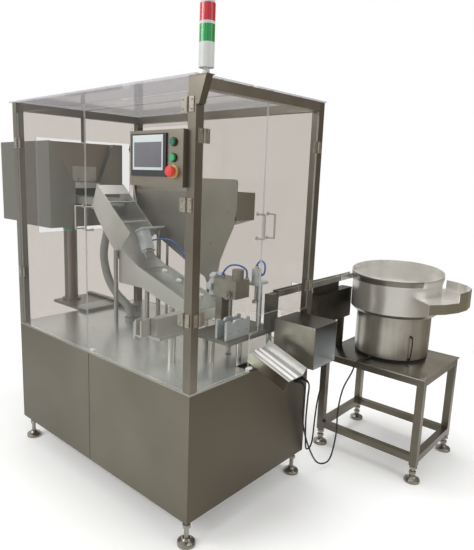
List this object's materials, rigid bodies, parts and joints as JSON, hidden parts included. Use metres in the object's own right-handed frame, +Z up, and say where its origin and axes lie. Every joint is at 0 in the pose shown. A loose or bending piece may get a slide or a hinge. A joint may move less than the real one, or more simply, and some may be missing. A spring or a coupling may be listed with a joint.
{
  "type": "tube filling machine",
  "caption": "Guarded filling table on a steel cabinet, with a product hopper and trough at one end, a tube bin and capping station inside, and a vibrating cap feeder on its own stand.",
  "frame": {"origin": "middle of the whole footprint's box, on the floor, cables left out", "axes": "+X to the right along the machine's long front, +Y to the back towards the cap feeder, +Z up"},
  "size_m": [2.434, 1.69, 2.024],
  "materials": {
    "steel_brushed": "fine brushed stainless",
    "steel_dark": "satin stainless tube",
    "steel_bright": "bright stainless",
    "clear_sheet": "clear acrylic sheet, faintly warm",
    "aluminium_plain": "natural anodised",
    "motor_grey": "grey enamel",
    "screen_dark": "dark bezel with a pale screen",
    "button_green": "moulded",
    "button_dark_green": "moulded",
    "button_red": "moulded",
    "collar_yellow": "moulded",
    "tower_grey": "moulded",
    "lens_green": "clear tinted",
    "lens_red": "clear tinted",
    "duct_grey": "ribbed plastic",
    "cable_black": "matt sheath",
    "hose_blue": "air hose"
  },
  "bodies": {
    "machine": {"base_frame": "steel_dark", "table_top": "steel_bright", "cover_panels": "steel_brushed", "levelling_feet": "steel_bright", "gear_motor": "motor_grey", "guard_posts": "steel_dark", "guard_rails": "steel_dark", "roof_sheet": "clear_sheet", "left_guard_sheet": "clear_sheet", "rear_guard_sheet": "clear_sheet", "hinge_leaves": "steel_bright", "panel_box": "steel_brushed", "touch_screen": "screen_dark", "button_collars": "collar_yellow", "tower_bracket": "steel_dark", "tower_base": "tower_grey", "green_lens": "lens_green", "red_lens": "lens_red", "hopper_shell": "steel_brushed", "tray_drive": "motor_grey", "hopper_column": "steel_brushed", "trough_body": "steel_brushed", "trough_cover": "clear_sheet", "stop_cylinder": "aluminium_plain", "flex_duct": "duct_grey", "tube_bin": "steel_brushed", "table_posts": "steel_bright", "station_plate": "aluminium_plain", "index_housing": "steel_brushed", "cap_cylinder": "aluminium_plain", "pusher_bracket": "steel_brushed", "outfeed_chute": "steel_bright", "box_chute": "steel_brushed", "feeder_stand": "steel_dark", "bowl_drum": "steel_bright", "track_drive": "steel_dark", "bowl_cable": "cable_black", "track_cable": "cable_black", "cable_glands": "cable_black", "air_hoses": "hose_blue"},
    "front_left_leaf": {"front_left_door": "clear_sheet", "front_left_fittings": "steel_bright"},
    "front_right_leaf": {"front_right_door": "clear_sheet", "front_right_fittings": "steel_bright"},
    "end_near_leaf": {"end_near_door": "clear_sheet", "end_near_fittings": "steel_bright"},
    "end_far_leaf": {"end_far_door": "clear_sheet", "end_far_fittings": "steel_bright"},
    "start": {"start_button": "button_green"},
    "reset": {"reset_button": "button_dark_green"},
    "emergency_stop": {"estop_button": "button_red"},
    "spout_gate": {"hopper_gate": "steel_bright"},
    "tray": {"feed_tray": "steel_bright"},
    "tube_stop": {"stop_gate": "steel_brushed"},
    "drive": {"drive_shaft": "steel_bright"},
    "wheel": {"tube_wheel": "aluminium_plain"},
    "ram": {"cap_ram": "steel_bright"},
    "pusher": {"pusher_rod": "steel_bright"},
    "vibrating_bowl": {"bowl": "steel_bright"},
    "vibrating_track": {"cap_track": "steel_bright"}
  },
  "joints": [
    {"name": "front_left_hinge", "type": "hinge", "parent": "machine", "child": "front_left_leaf", "pos_m": [-0.5545, -0.8, 1.221], "axis": [0, 0, -1], "range_deg": [0, 110]},
    {"name": "front_right_hinge", "type": "hinge", "parent": "machine", "child": "front_right_leaf", "pos_m": [0.6615, -0.8, 1.221], "axis": [0, 0, 1], "range_deg": [0, 110]},
    {"name": "end_near_hinge", "type": "hinge", "parent": "machine", "child": "end_near_leaf", "pos_m": [0.706, -0.7555, 1.221], "axis": [0, 0, -1], "range_deg": [0, 100]},
    {"name": "end_far_hinge", "type": "hinge", "parent": "machine", "child": "end_far_leaf", "pos_m": [0.706, -0.0195, 1.221], "axis": [0, 0, 1], "range_deg": [0, 110]},
    {"name": "start_press", "type": "slide", "parent": "machine", "child": "start", "axis": [0, 1, 0], "range_m": [0, 0.004], "stiffness_N_per_m": 800},
    {"name": "reset_press", "type": "slide", "parent": "machine", "child": "reset", "axis": [0, 1, 0], "range_m": [0, 0.004], "stiffness_N_per_m": 800},
    {"name": "emergency_stop_press", "type": "slide", "parent": "machine", "child": "emergency_stop", "axis": [0, 1, 0], "range_m": [0, 0.004], "stiffness_N_per_m": 1500},
    {"name": "spout_gate_lift", "type": "slide", "parent": "machine", "child": "spout_gate", "axis": [0, 0, 1], "range_m": [0, 0.06]},
    {"name": "tray_shake", "type": "slide", "parent": "machine", "child": "tray", "axis": [1, 0, 0], "range_m": [-0.0015, 0.0015], "stiffness_N_per_m": 30000},
    {"name": "tube_stop_drop", "type": "slide", "parent": "machine", "child": "tube_stop", "axis": [0.4226, 0, -0.9063], "range_m": [0, 0.03]},
    {"name": "drive_turn", "type": "hinge", "parent": "machine", "child": "drive", "pos_m": [0.501, -0.345, 0.821], "axis": [0, 0, 1], "continuous": true},
    {"name": "wheel_turn", "type": "hinge", "parent": "machine", "child": "wheel", "pos_m": [0.421, -0.347, 0.976], "axis": [1, 0, 0], "continuous": true},
    {"name": "ram_press", "type": "slide", "parent": "machine", "child": "ram", "axis": [0, 0, -1], "range_m": [0, 0.04]},
    {"name": "pusher_push", "type": "slide", "parent": "machine", "child": "pusher", "axis": [0, 1, 0], "range_m": [0, 0.08]},
    {"name": "bowl_shake", "type": "hinge", "parent": "machine", "child": "vibrating_bowl", "pos_m": [0.855, 0.612, 0.821], "axis": [0, 0, 1], "range_deg": [-0.2, 0.2], "stiffness_Nm_per_rad": 60000},
    {"name": "track_shake", "type": "slide", "parent": "machine", "child": "vibrating_track", "axis": [0, 1, 0], "range_m": [-0.001, 0.001], "stiffness_N_per_m": 30000}
  ],
  "couplings": [
    {"joint": "wheel_turn", "follows": "drive_turn", "ratio": 1}
  ]
}
